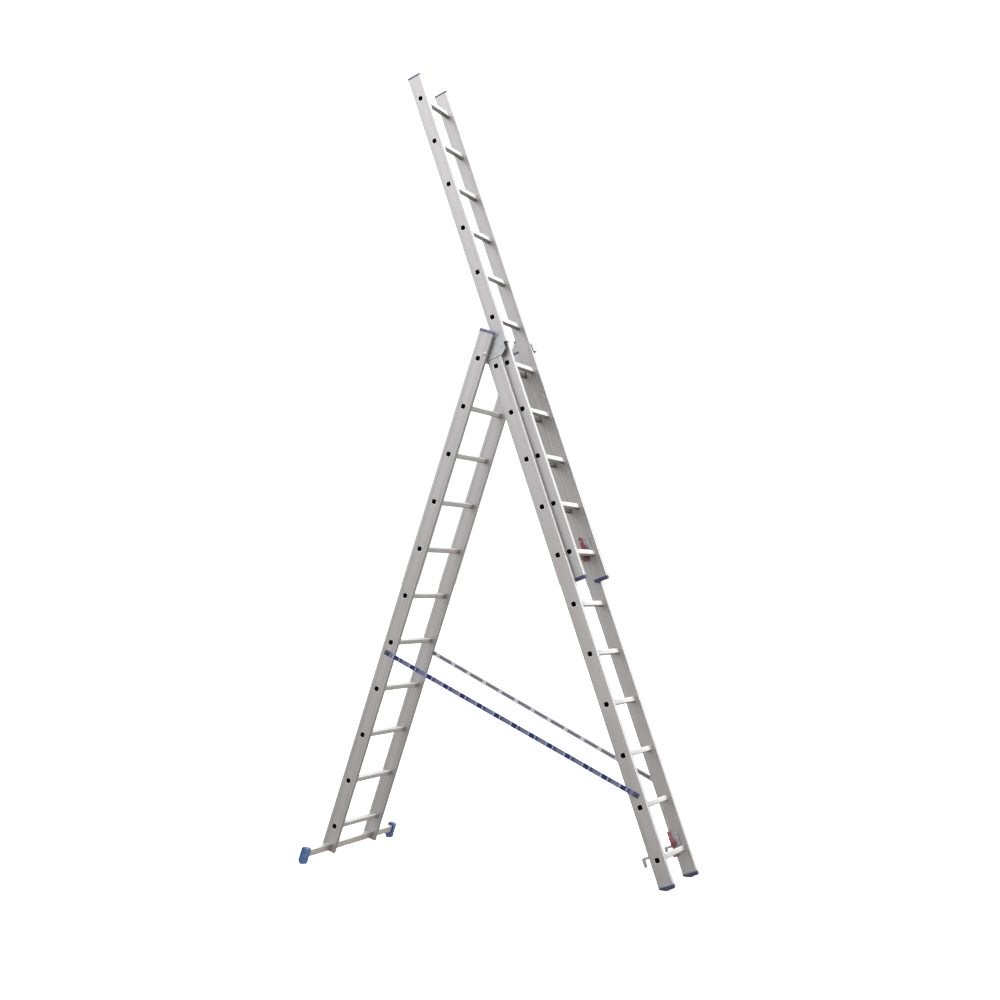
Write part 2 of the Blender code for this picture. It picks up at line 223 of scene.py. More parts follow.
def add_piece(name, bm, place, body, materials, replaced=()):
    """Makes the piece from its mesh in the section's frame, and lets it ride on its body."""
    mesh = bpy.data.meshes.new(name)
    bm.to_mesh(mesh)
    bm.free()
    for material in materials:
        mesh.materials.append(material)
    mesh.shade_smooth()
    mesh.set_sharp_from_angle(angle=SMOOTH_ANGLE)
    piece = bpy.data.objects.new(name, mesh)
    bpy.context.scene.collection.objects.link(piece)
    piece.matrix_world = place
    if body:
        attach(piece, body)
    if replaced:
        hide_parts(*replaced)
    return piece


def grooved_side(start, end, grooves):
    """The points of one straight side, with grooves of (share along the side, width, depth)."""
    start, end = Vector(start), Vector(end)
    length = (end - start).length
    along = (end - start) / length
    inward = Vector((-along.y, along.x))
    points = [start]
    for share, width, depth in grooves:
        middle = start + along * length * share
        for step, sink in ((-0.5, 0), (-0.3, 1), (0.3, 1), (0.5, 0)):
            points.append(middle + along * width * step + inward * depth * sink)
    points.append(end)
    return points


def profile(half_x, half_y, corner, x_grooves=(), y_grooves=(), arc_steps=5):
    """A rectangle's outline, counter-clockwise, with round corners and grooved sides."""
    corners = [
        (Vector((half_x - corner, corner - half_y)), -90),
        (Vector((half_x - corner, half_y - corner)), 0),
        (Vector((corner - half_x, half_y - corner)), 90),
        (Vector((corner - half_x, corner - half_y)), 180),
    ]
    points = []
    for i, (middle, turn) in enumerate(corners):
        before, last_turn = corners[i - 1]
        leave = before + corner * unit(last_turn + 90)
        arrive = middle + corner * unit(turn)
        points += grooved_side(leave, arrive, y_grooves if i % 2 == 0 else x_grooves)
        points += [middle + corner * unit(turn + 90 * k / arc_steps) for k in range(1, arc_steps)]
    return points


def unit(degrees):
    return Vector((math.cos(math.radians(degrees)), math.sin(math.radians(degrees))))


def bridge(bm, rings, material=0):
    """Joins each ring of vertices to the next with a band of faces."""
    for low, high in zip(rings, rings[1:]):
        count = len(low)
        for i in range(count):
            j = (i + 1) % count
            face = bm.faces.new((low[i], low[j], high[j], high[i]))
            face.material_index = material


def loft(bm, rings):
    """A closed solid through rings of vertices, with a face over each end."""
    bridge(bm, rings)
    bm.faces.new(rings[0])
    bm.faces.new(rings[-1])


def join_mouths(bm, skin, hole):
    """Closes a tube's two ends between its outline, skin, and its bore, hole, which runs back."""
    for ring, bore_ring in ((skin[0], hole[1]), (skin[-1], hole[0])):
        edges = []
        for loop in (ring, bore_ring):
            edges += [bm.edges.get((loop[i - 1], loop[i])) for i in range(len(loop))]
        bmesh.ops.bridge_loops(bm, edges=edges)


def face_out(bm):
    bmesh.ops.recalc_face_normals(bm, faces=bm.faces)


def prism(bm, outline, low_z, high_z, middle=(0, 0), edge=0):
    """An outline in X and Y, from low_z to high_z, with chamfered ends."""
    rings = []
    levels = [(low_z, edge), (low_z + edge, 0), (high_z - edge, 0), (high_z, edge)]
    if not edge:
        levels = [(low_z, 0), (high_z, 0)]
    reach = max(p.length for p in outline)
    for z, inset in levels:
        share = 1 - inset / reach
        ring = [(middle[0] + p.x * share, middle[1] + p.y * share, z) for p in outline]
        rings.append([bm.verts.new(corner) for corner in ring])
    loft(bm, rings)


def turned(bm, middle, levels, sides=32, turn=0):
    """A solid turned about Y, from (y, radius) pairs; a radius of 0 closes an end in a point."""
    rings = []
    for y, radius in levels:
        spokes = [unit(turn + 360 * i / sides) * max(radius, 0.00005) for i in range(sides)]
        rings.append([bm.verts.new((middle[0] + s.x, y, middle[1] + s.y)) for s in spokes])
    loft(bm, rings)


def box(bm, low, high, edge):
    """A box with chamfered upright edges and ends."""
    middle = (Vector(low) + Vector(high)) / 2
    half = (Vector(high) - Vector(low)) / 2
    outline = profile(half.x, half.y, min(edge * 2, half.x * 0.45, half.y * 0.45), arc_steps=2)
    prism(bm, outline, low[2], high[2], middle, min(edge, half.z * 0.4))


def cut_away(piece, cutter_bm):
    """Cuts the closed shapes of cutter_bm, in the piece's own frame, out of the piece."""
    face_out(cutter_bm)
    mesh = bpy.data.meshes.new("cutter")
    cutter_bm.to_mesh(mesh)
    cutter_bm.free()
    cutter = bpy.data.objects.new("cutter", mesh)
    bpy.context.scene.collection.objects.link(cutter)
    cutter.matrix_world = piece.matrix_world
    modifier = piece.modifiers.new("cut", "BOOLEAN")
    modifier.operation = "DIFFERENCE"
    modifier.solver = "EXACT"
    modifier.object = cutter
    bpy.context.view_layer.update()
    seen = piece.evaluated_get(bpy.context.evaluated_depsgraph_get())
    result = bpy.data.meshes.new_from_object(seen)
    result.name = piece.name
    piece.modifiers.clear()
    piece.data = result
    bpy.data.objects.remove(cutter)


def from_node(node, place, edge, segments=2):
    """A CAD node's shape in a section's frame, with its sharp edges rounded."""
    bm = bmesh.new()
    bm.from_mesh(nodes[node].data)
    bm.transform(place.inverted())
    bmesh.ops.remove_doubles(bm, verts=bm.verts, dist=0.00002)
    bmesh.ops.dissolve_limit(bm, angle_limit=math.radians(1), verts=bm.verts, edges=bm.edges)
    sharp = [e for e in bm.edges if e.is_manifold and e.calc_face_angle() > SHARP_ANGLE]
    bmesh.ops.bevel(bm, geom=sharp, offset=edge, segments=segments, profile=0.5, affect="EDGES",
                    clamp_overlap=True)
    face_out(bm)
    return bm


def keep_flats_flat(piece):
    """Shades each flat face as flat, and lets only its rounded edges turn the light."""
    weighted = piece.modifiers.new("flat_faces", "WEIGHTED_NORMAL")
    weighted.keep_sharp = True
    weighted.weight = 100


# ---------------------------------------------------------------- materials


def fill_ramp(ramp, stops):
    """Sets a colour ramp's stops, (position, colour); a colour is a grey level or an (r, g, b)."""
    while len(ramp.elements) < len(stops):
        ramp.elements.new(0.5)
    for element, (position, colour) in zip(ramp.elements, stops):
        rgb = (colour,) * 3 if isinstance(colour, (int, float)) else colour
        element.position = position
        element.color = (*rgb, 1)


class Finish:
    """A Principled material under construction, with short calls for its nodes."""

    def __init__(self, name):
        self.material = bpy.data.materials.new(name)
        self.material.use_nodes = True
        self.tree = self.material.node_tree
        self.shader = self.tree.nodes["Principled BSDF"]

    def node(self, kind, **values):
        made = self.tree.nodes.new(kind)
        for key, value in values.items():
            setattr(made, key, value)
        return made

    def link(self, out, into):
        self.tree.links.new(out, into)

    def set(self, **values):
        """Constant values on the shader's own sockets."""
        for key, value in values.items():
            self.shader.inputs[key.replace("_", " ")].default_value = value

    def coordinates(self, scale, kind="Object", turn=(0, 0, 0)):
        source = self.node("ShaderNodeTexCoord")
        mapping = self.node("ShaderNodeMapping")
        mapping.inputs["Scale"].default_value = scale
        mapping.inputs["Rotation"].default_value = turn
        self.link(source.outputs[kind], mapping.inputs["Vector"])
        return mapping.outputs["Vector"]

    def noise(self, vector, scale=1.0, detail=3.0, roughness=0.55, distortion=0.0):
        made = self.node("ShaderNodeTexNoise")
        made.inputs["Scale"].default_value = scale
        made.inputs["Detail"].default_value = detail
        made.inputs["Roughness"].default_value = roughness
        made.inputs["Distortion"].default_value = distortion
        self.link(vector, made.inputs["Vector"])
        return made.outputs["Fac"]

    def math(self, operation, first, second=None):
        made = self.node("ShaderNodeMath", operation=operation)
        for slot, value in enumerate((first, second)):
            if value is None:
                continue
            if isinstance(value, (int, float)):
                made.inputs[slot].default_value = value
            else:
                self.link(value, made.inputs[slot])
        return made.outputs[0]

    def ramp(self, factor, stops):
        made = self.node("ShaderNodeValToRGB")
        fill_ramp(made.color_ramp, stops)
        self.link(factor, made.inputs["Fac"])
        return made.outputs["Color"]

    def mix(self, factor, first, second, blend="MIX"):
        made = self.node("ShaderNodeMix", data_type="RGBA", blend_type=blend)
        sockets = {"Factor": factor, "A": first, "B": second}
        for socket in made.inputs:
            if not socket.enabled or socket.name not in sockets:
                continue
            value = sockets[socket.name]
            if isinstance(value, (int, float)):
                socket.default_value = value
            elif isinstance(value, tuple):
                socket.default_value = (*value, 1)
            else:
                self.link(value, socket)
        return next(s for s in made.outputs if s.enabled)

    def spread(self, factor, low, high):
        made = self.node("ShaderNodeMapRange")
        made.inputs["To Min"].default_value = low
        made.inputs["To Max"].default_value = high
        self.link(factor, made.inputs["Value"])
        return made.outputs["Result"]

    def bump(self, heights, distance, strength):
        made = self.node("ShaderNodeBump")
        made.inputs["Distance"].default_value = distance
        made.inputs["Strength"].default_value = strength
        self.link(heights, made.inputs["Height"])
        self.link(made.outputs["Normal"], self.shader.inputs["Normal"])


def aluminium(name, colour, dark, roughness, grain=(260, 260, 3.0)):
    """Extruded, anodised aluminium: fine lines along the grain, cloudy patches and a few scuffs."""
    finish = Finish(name)
    finish.set(Metallic=1.0)
    lines = finish.noise(finish.coordinates(grain), detail=4, roughness=0.65)
    cloud = finish.noise(finish.coordinates((9, 9, 1.6)), detail=3, distortion=0.6)
    scuffs = finish.noise(finish.coordinates((150, 40, 55), turn=(0.4, 0.5, 0.2)), detail=2, roughness=0.4)
    scuffs = finish.ramp(scuffs, [(0.60, 0.0), (0.72, 1.0)])
    tone = finish.math("ADD", finish.math("MULTIPLY", lines, 0.55), finish.math("MULTIPLY", cloud, 0.45))
    tone = finish.ramp(tone, [(0.32, dark), (0.68, colour)])
    worn = tuple(min(1.0, c * 1.10) for c in colour)
    scuff_share = finish.math("MULTIPLY", scuffs, 0.35)
    finish.link(finish.mix(scuff_share, tone, worn), finish.shader.inputs["Base Color"])
    rough = finish.math("ADD", finish.spread(cloud, roughness - 0.07, roughness + 0.05),
                        finish.math("MULTIPLY", lines, 0.06))
    finish.link(rough, finish.shader.inputs["Roughness"])
    heights = finish.math("ADD", lines, finish.math("MULTIPLY", scuffs, 0.25))
    finish.bump(heights, 0.00012, 0.6)
    return finish.material


def zinc(name, colour, dark):
    """Zinc-plated steel: a blotchy spangle, slightly blue, duller in patches."""
    finish = Finish(name)
    finish.set(Metallic=1.0)
    cells = finish.node("ShaderNodeTexVoronoi", feature="F1")
    cells.inputs["Scale"].default_value = 260
    finish.link(finish.coordinates((1, 1, 1)), cells.inputs["Vector"])
    cloud = finish.noise(finish.coordinates((60, 60, 60)), detail=4)
    tone = finish.ramp(cloud, [(0.3, dark), (0.7, colour)])
    flecks = finish.math("MULTIPLY", cells.outputs["Distance"], 0.25)
    finish.link(finish.mix(flecks, tone, (0.75, 0.80, 0.86)), finish.shader.inputs["Base Color"])
    finish.link(finish.spread(cloud, 0.30, 0.52), finish.shader.inputs["Roughness"])
    finish.bump(cells.outputs["Distance"], 0.00008, 0.4)
    return finish.material


def plastic(name, colour, dark, roughness, dust_colour):
    """Moulded plastic: a fine leathery grain, with dust and pale wear in patches."""
    finish = Finish(name)
    fine = finish.noise(finish.coordinates((900, 900, 900)), detail=2)
    cloud = finish.noise(finish.coordinates((34, 34, 34)), detail=4)
    tone = finish.ramp(cloud, [(0.32, dark), (0.66, colour)])
    dust = finish.math("MULTIPLY", finish.ramp(cloud, [(0.56, 0.0), (0.78, 1.0)]), 0.18)
    finish.link(finish.mix(dust, tone, dust_colour), finish.shader.inputs["Base Color"])
    finish.link(finish.spread(fine, roughness - 0.08, roughness + 0.10), finish.shader.inputs["Roughness"])
    finish.bump(fine, 0.00010, 0.55)
    return finish.material


def painted_shade_bore(name):
    """The inside of a tube, painted near-black: painted shade, since little light reaches it."""
    finish = Finish(name)
    cloud = finish.noise(finish.coordinates((90, 12, 90)), detail=3)
    finish.link(finish.ramp(cloud, [(0.3, 0.002), (0.7, 0.008)]), finish.shader.inputs["Base Color"])
    finish.set(Specular_IOR_Level=0.08)
    finish.link(finish.spread(cloud, 0.75, 0.95), finish.shader.inputs["Roughness"])
    return finish.material


def webbing(name, stops, shift, edge_band, edge_colour, end_colour, length):
    """Woven strap: blocks of colour along it, pale selvedges, dark ends and a plain weave.

    stops colour one repeat of the pattern, shift moves it along, and edge_band is where the
    selvedge starts and ends, from the strap's middle line.
    """
    finish = Finish(name)
    source = finish.node("ShaderNodeUVMap", uv_map="strap")
    parts = finish.node("ShaderNodeSeparateXYZ")
    finish.link(source.outputs["UV"], parts.inputs[0])
    along, across = parts.outputs["X"], parts.outputs["Y"]
    repeats = finish.math("DIVIDE", along, STRAP_PITCH)
    repeat = finish.math("FRACT", finish.math("ADD", repeats, shift))
    blocks = finish.ramp(repeat, stops)
    from_middle = finish.math("ABSOLUTE", finish.math("SUBTRACT", across, 0.5))
    selvedge = finish.ramp(from_middle, [(edge_band[0], 0.0), (edge_band[1], 1.0)])
    tone = finish.mix(finish.math("MULTIPLY", selvedge, 0.85), blocks, edge_colour)
    from_centre = finish.math("ABSOLUTE", finish.math("SUBTRACT", along, length / 2))
    sewn_end = finish.math("GREATER_THAN", from_centre, length / 2 - STRAP_END)
    tone = finish.mix(finish.math("MULTIPLY", sewn_end, 0.9), tone, end_colour)
    threads = finish.math("SINE", finish.math("MULTIPLY", along, 2 * math.pi / WEAVE))
    picks = finish.math("SINE", finish.math("MULTIPLY", across, 2 * math.pi * WARP_PAIRS))
    woven = finish.math("MULTIPLY", threads, picks)
    shade = finish.spread(woven, 0.62, 1.0)
    shade.node.inputs["From Min"].default_value = -1
    fuzz = finish.noise(finish.coordinates((1, 1, 1), kind="UV"), scale=420, detail=2)
    tone = finish.mix(finish.math("MULTIPLY", fuzz, 0.10), tone, (0.06, 0.06, 0.09))
    finish.link(finish.mix(1.0, tone, shade, "MULTIPLY"), finish.shader.inputs["Base Color"])
    finish.link(finish.spread(fuzz, 0.72, 0.92), finish.shader.inputs["Roughness"])
    finish.set(Specular_IOR_Level=0.12)
    finish.bump(woven, 0.0003, 0.5)
    return finish.material


def make_materials():
    start, end = strap_ends("right")[:2]
    strap_length = (end - start).length
    return {
        "stile": aluminium("stile_aluminium", (0.365, 0.354, 0.347), (0.30, 0.290, 0.284), 0.42),
        "rung": aluminium("rung_aluminium", (0.50, 0.485, 0.47), (0.40, 0.385, 0.37), 0.36, (260, 4, 260)),
        "bar": aluminium("bar_aluminium", (0.52, 0.505, 0.475), (0.43, 0.415, 0.385), 0.40, (260, 4, 260)),
        # The insides of the rungs and the bar get a near-black finish, which is painted shade.
        "bore": painted_shade_bore("tube_bore_painted_shade"),
        "steel": zinc("zinc_plated_steel", (0.29, 0.29, 0.29), (0.19, 0.19, 0.19)),
        "blue": plastic("blue_plastic", (0.016, 0.056, 0.140), (0.002, 0.018, 0.066), 0.42, DUST),
        "cap": plastic("blue_cap_plastic", (0.034, 0.040, 0.085), (0.020, 0.024, 0.056), 0.45, DUST),
        "navy": plastic("navy_rubber", (0.010, 0.013, 0.062), (0.005, 0.007, 0.034), 0.62, DUST),
        "sole": plastic("dark_sole_rubber", (0.010, 0.011, 0.040), (0.005, 0.006, 0.020), 0.65, DUST),
        "skirt": plastic("grey_blue_rubber", (0.105, 0.105, 0.140), (0.070, 0.070, 0.100), 0.60, DUST),
        "red": plastic("red_plastic", (0.160, 0.022, 0.030), (0.070, 0.009, 0.014), 0.40, DUST),
        "dark": plastic("black_plastic", (0.008, 0.008, 0.011), (0.004, 0.004, 0.006), 0.60,
                        (0.05, 0.05, 0.06)),
        "strap_out": webbing(
            "webbing_outside",
            [(0.0, (0.006, 0.010, 0.058)), (0.26, (0.006, 0.010, 0.058)), (0.28, (0.16, 0.175, 0.25)),
             (0.32, (0.16, 0.175, 0.25)), (0.34, (0.016, 0.022, 0.075)), (0.46, (0.028, 0.035, 0.085)),
             (0.52, (0.066, 0.072, 0.116)), (0.90, (0.074, 0.080, 0.126)), (0.93, (0.16, 0.175, 0.25)),
             (0.97, (0.16, 0.175, 0.25)), (1.0, (0.006, 0.010, 0.058))],
            0.42, (0.43, 0.47), (0.13, 0.14, 0.20), (0.036, 0.034, 0.056), strap_length,
        ),
        "strap_in": webbing(
            "webbing_inside",
            [(0.0, (0.088, 0.083, 0.098)), (0.74, (0.088, 0.083, 0.098)), (0.78, (0.30, 0.295, 0.315)),
             (0.96, (0.30, 0.295, 0.315)), (1.0, (0.088, 0.083, 0.098))],
            0.07, (0.22, 0.30), (0.30, 0.295, 0.305), (0.026, 0.024, 0.032), strap_length,
        ),
    }


# ---------------------------------------------------------------- stiles and rungs


def add_rung_holes(cutter, section, place, low_y, high_y):
    """Adds the shapes that cut a hole for each rung through a stile."""
    for number in range(1, RUNGS + 1):
        low, high = local_box(f"rung_{section}_{number:02d}", place)
        half = (high.x - low.x) / 2 + HOLE_SLACK
        middle_z = (low.z + high.z) / 2
        outline = profile(half, half, RUNG_CORNER)
        rings = []
        for y in (low_y - CUT_PAST, high_y + CUT_PAST):
            rings.append([cutter.verts.new((p.x, y, middle_z + p.y)) for p in outline])
        loft(cutter, rings)


def plain_box(bm, low, high):
    """A box with sharp edges, to cut with."""
    corners = [(low[0], low[1]), (high[0], low[1]), (high[0], high[1]), (low[0], high[1])]
    loft(bm, [[bm.verts.new((x, y, z)) for x, y in corners] for z in (low[2], high[2])])


def make_stile(section, side, materials):
    """An extruded tube with round edges and grooves, cut for the rungs, and for A's bar."""
    place = PLACES[section]
    node = f"stile_{section}_{side}"
    low, high = local_box(node, place)
    middle = (low + high) / 2
    half = (high - low) / 2
    bm = bmesh.new()
    outline = profile(half.x, half.y, STILE_CORNER, EDGE_GROOVES, FACE_GROOVES)
    prism(bm, outline, low.z, high.z, middle)
    face_out(bm)
    stile = add_piece(f"stile_{section}_{side}_shell", bm, place, f"section_{section}",
                      [materials["stile"]], (node,))
    cutter = bmesh.new()
    add_rung_holes(cutter, section, place, low.y, high.y)
    if section == "a":
        bar_low, bar_high = local_box("stabiliser_bar", place)
        slack = Vector((HOLE_SLACK, 0, HOLE_SLACK))
        bar_low.y, bar_high.y = low.y - CUT_PAST, high.y + CUT_PAST
        plain_box(cutter, bar_low - slack, bar_high + slack)
        wall = Vector((STILE_WALL, STILE_WALL, 0))
        floor_z = bar_low.z - STILE_WALL
        plain_box(cutter, (low + wall)[:2] + (low.z - CUT_PAST,), (high - wall)[:2] + (floor_z,))
    cut_away(stile, cutter)
    stile.data.set_sharp_from_angle(angle=SMOOTH_ANGLE)


def rung_levels(half_width, thick):
    """(y, growth of the outline) from the rung's mouth to its middle, one side."""
    out, inner = half_width, half_width - thick
    return [
        (out + LIP_PROUD * 0.6, 0.0003),
        (out + LIP_PROUD, 0.0010),
        (out + LIP_PROUD, LIP_WIDE * 0.7),
        (out + LIP_PROUD * 0.5, LIP_WIDE),
        (out, LIP_WIDE * 0.95),
        (out - 0.0002, 0.0),
        (inner + 0.0002, 0.0),
        (inner, BEAD_WIDE * 0.9),
        (inner - BEAD_LONG * 0.25, BEAD_WIDE),
        (inner - BEAD_LONG * 0.6, BEAD_WIDE * 0.55),
        (inner - BEAD_LONG, 0.0),
    ]


def rung_mesh(section):
    """A ribbed square tube whose ends are flared over the stiles, with a bead inside each stile."""
    place = PLACES[section]
    low, high = local_box(f"rung_{section}_01", place)
    half = (high.x - low.x) / 2
    stile_low, stile_high = local_box(f"stile_{section}_right", place)
    levels = rung_levels(stile_high.y, stile_high.y - stile_low.y)
    outline = profile(half, half, RUNG_CORNER, SIDE_GROOVES, TREAD_GROOVES)
    bore = profile(half - RUNG_WALL, half - RUNG_WALL, BORE_CORNER)
    bm = bmesh.new()
    skin = []
    run = [(-y, grow) for y, grow in levels] + [(y, grow) for y, grow in reversed(levels)]
    for y, grow in run:
        share = (half + grow) / half
        skin.append([bm.verts.new((p.x * share, y, p.y * share)) for p in outline])
    bridge(bm, skin)
    mouth = levels[0][0]
    hole = [[bm.verts.new((p.x, y, p.y)) for p in bore] for y in (mouth, -mouth)]
    bridge(bm, hole, material=1)
    join_mouths(bm, skin, hole)
    face_out(bm)
    return bm


def make_rungs(section, materials):
    place = PLACES[section]
    for number in range(1, RUNGS + 1):
        node = f"rung_{section}_{number:02d}"
        bm = rung_mesh(section)
        low, high = local_box(node, place)
        bm.transform(Matrix.Translation((0, 0, (low.z + high.z) / 2)))
        add_piece(f"{node}_tube", bm, place, f"section_{section}",
                  [materials["rung"], materials["bore"]], (node,))


# ---------------------------------------------------------------- caps, feet and the stabiliser


def cap_mesh(section, side, base, thick):
    """A moulded plate over a stile's end, with round edges and a shallow panel.

    It lies on the height base, and a negative thick makes it stand downward.
    """
    low, high = local_box(f"stile_{section}_{side}", PLACES[section])
    middle = (low + high) / 2
    half = (high - low) / 2
    sign = math.copysign(1, thick)
    tall = abs(thick)
    levels = [
        (-CAP_SKIRT, 0.0002),
        (0.0005 - CAP_SKIRT, -CAP_PROUD),
        (tall * 0.50, -CAP_PROUD),
        (tall * 0.85, CAP_EDGE * 0.35),
        (tall, CAP_EDGE),
        (tall, CAP_EDGE + 0.0022),
        (tall - 0.0008, CAP_EDGE + 0.0028),
    ]
    bm = bmesh.new()
    rings = []
    for z, inset in levels:
        outline = profile(half.x - inset, half.y - inset, max(STILE_CORNER - inset * 0.4, 0.0012))
        ring = [(middle.x + p.x, middle.y + p.y, base + sign * z) for p in outline]
        rings.append([bm.verts.new(corner) for corner in ring])
    loft(bm, rings)
    face_out(bm)
    return bm


def make_caps(materials):
    for section in "abc":
        for side in SIDES:
            top = local_box(f"stile_{section}_{side}", PLACES[section])[1].z
            replaced = (f"cap_c_top_{side}",) if section == "c" else ()
            bm = cap_mesh(section, side, top + CAP_GAP, CAP_THICK[section])
            add_piece(f"cap_{section}_top_{side}_plug", bm, PLACES[section], f"section_{section}",
                      [materials["cap"]], replaced)
    for side in SIDES:
        bottom = local_box(f"stile_c_{side}", PLACES["c"])[0].z
        bm = cap_mesh("c", side, bottom - CAP_GAP, -FLY_SOLE_THICK)
        add_piece(f"cap_c_bottom_{side}_plug", bm, PLACES["c"], "section_c",
                  [materials["navy"]])


def sole_grooves(piece, low, high, count):
    """Grooves along Y in the sole of a foot, each as deep as the sole is at its place."""
    tree = BVHTree.FromObject(piece, bpy.context.evaluated_depsgraph_get())
    cutter = bmesh.new()
    middle_y = (low.y + high.y) / 2
    for i in range(count):
        x = low.x + (high.x - low.x) * (i + 1) / (count + 1)
        hit = tree.ray_cast(Vector((x, middle_y, low.z - 0.05)), Vector((0, 0, 1)))[0]
        if hit is None:
            continue
        half = SOLE_GROOVE_WIDE / 2
        plain_box(cutter, (x - half, low.y - CUT_PAST, hit.z - 2 * CUT_PAST),
                  (x + half, high.y + CUT_PAST, hit.z + SOLE_GROOVE_DEEP))
    cut_away(piece, cutter)
    piece.data.set_sharp_from_angle(angle=SMOOTH_ANGLE)


def make_feet(materials):
    for side, sign in SIDES.items():
        for node, section, key, slot in (
            (f"foot_b_{side}", "b", "sole", "rubber_feet"),
            (f"stabiliser_foot_{side}", "a", "blue", "plastic_blue"),
        ):
            place = PLACES[section]
            bm = from_node(node, place, FOOT_EDGE, 3)
            low, high = local_box(node, place)
            foot = add_piece(f"{node}_moulded", bm, place, f"section_{section}",
                             [materials[key]], (node,))
            sole_grooves(foot, low, high, SOLE_GROOVES[section])
            if section == "a":
                end_grooves(foot, low, high, sign)
            keep_flats_flat(foot)
        add_shoe_skirt(side, materials)


def add_shoe_skirt(side, materials):
    """The moulded band of section B's foot that wraps the end of the stile."""
    place = PLACES["b"]
    low, high = local_box(f"stile_b_{side}", place)
    middle = (low + high) / 2
    half = (high - low) / 2
    bm = bmesh.new()
    rings = []
    levels = [
        (0.0002, 0.0002),
        (0.0006, SKIRT_PROUD),
        (SKIRT_TALL - 0.001, SKIRT_PROUD),
        (SKIRT_TALL, 0.0001),
    ]
    for z, grow in levels:
        outline = profile(half.x + grow, half.y + grow, STILE_CORNER + grow)
        rings.append([bm.verts.new((middle.x + p.x, middle.y + p.y, low.z + z)) for p in outline])
    loft(bm, rings)
    face_out(bm)
    add_piece(f"foot_b_{side}_skirt", bm, place, "section_b", [materials["skirt"]])


def end_grooves(foot, low, high, sign):
    """Upright grooves in the outer end of a stabiliser foot, which leave ribs between them."""
    face = outer_y(low, high, sign)
    inner, outer = sorted((face - sign * END_GROOVE_DEEP, face + sign * CUT_PAST))
    half = END_GROOVE_WIDE / 2
    cutter = bmesh.new()
    for share in END_GROOVES:
        x = low.x + (high.x - low.x) * share
        plain_box(cutter, (x - half, inner, low.z + END_GROOVE_ABOVE),
                  (x + half, outer, high.z - END_GROOVE_BELOW))
    cut_away(foot, cutter)
    foot.data.set_sharp_from_angle(angle=SMOOTH_ANGLE)


def make_stabiliser(materials):
    """The hollow bar through the rear leg's stiles."""
    place = PLACES["a"]
    low, high = local_box("stabiliser_bar", place)
    half_x = (high.x - low.x) / 2
    half_z = (high.z - low.z) / 2
    middle_z = (low.z + high.z) / 2
    outline = profile(half_x, half_z, BAR_CORNER, BAR_GROOVES)
    bore = profile(half_x - STILE_WALL, half_z - STILE_WALL, BAR_BORE_CORNER)
    bm = bmesh.new()
    skin = [[bm.verts.new((p.x, y, middle_z + p.y)) for p in outline] for y in (low.y, high.y)]
    hole = [[bm.verts.new((p.x, y, middle_z + p.y)) for p in bore] for y in (high.y, low.y)]
    bridge(bm, skin)
    bridge(bm, hole, material=1)
    join_mouths(bm, skin, hole)
    face_out(bm)
    add_piece("stabiliser_bar_tube", bm, place, "section_a",
              [materials["bar"], materials["bore"]], ("stabiliser_bar",))


# ---------------------------------------------------------------- hinge, guides, hooks and latches


def rivet(bm, middle, face, sign, radius=RIVET_R, tall=RIVET_TALL):
    """A domed head on a face, standing out by sign along Y."""
    levels = [(0, 1.0), (0.25, 0.98), (0.6, 0.80), (0.85, 0.50), (1.0, 0.12)]
    turned(bm, middle, [(face + sign * tall * up, radius * share) for up, share in levels], 24)


def make_hinge_bolts(materials):
    """Low-domed bolt heads outside section A, spacers between the legs and nuts inside section B."""
    place = PLACES["a"]
    hinge = place.inverted() @ HINGE
    middle = (hinge.x, hinge.z)
    for side, sign in SIDES.items():
        node = f"hinge_bolt_{side}"
        outer = outer_y(*local_box(f"stile_a_{side}", place), sign)
        spacer_out = outer - sign * (STILE_THICK + FIT)
        b_low, b_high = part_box(f"stile_b_{side}")
        spacer_in = outer_y(b_low, b_high, sign) + sign * SPACER_GAP
        nut = inner_y(b_low, b_high, sign) - sign * FIT
        end = sign * min(abs(v.co.y) for v in nodes[node].data.vertices)
        bm = bmesh.new()
        turned(bm, middle, [(outer + sign * up, radius) for up, radius in BOLT_HEAD], 40)
        turned(bm, middle, [(outer + sign * 0.001, BOLT_SHANK_R), (nut, BOLT_SHANK_R)], 32)
        turned(bm, middle, [(spacer_out, SPACER_END_R), (spacer_out - sign * SPACER_EDGE, SPACER_R),
                            (spacer_in + sign * SPACER_EDGE, SPACER_R), (spacer_in, SPACER_END_R)], 40)
        turned(bm, middle, [(nut, NUT_R), (end + sign * 0.0012, NUT_R), (end, NUT_END_R)], 6, 30)
        face_out(bm)
        add_piece(f"{node}_turned", bm, place, "section_a", [materials["stile"]], (node,))


def make_guides(materials):
    """Steel plates at the top of section B, riveted on, with a lip round the fly."""
    place = PLACES["b"]
    for side, sign in SIDES.items():
        node = f"guide_{side}"
        bm = from_node(node, place, GUIDE_EDGE)
        low, high = local_box(node, place)
        face = outer_y(low, high, sign)
        stile_low, stile_high = local_box(f"stile_b_{side}", place)
        for share_x, share_z in GUIDE_RIVETS:
            x = stile_low.x + (stile_high.x - stile_low.x) * share_x
            z = low.z + (high.z - low.z) * share_z
            rivet(bm, (x, z), face, sign)
        guide = add_piece(f"{node}_plate", bm, place, "section_b", [materials["steel"]], (node,))
        keep_flats_flat(guide)


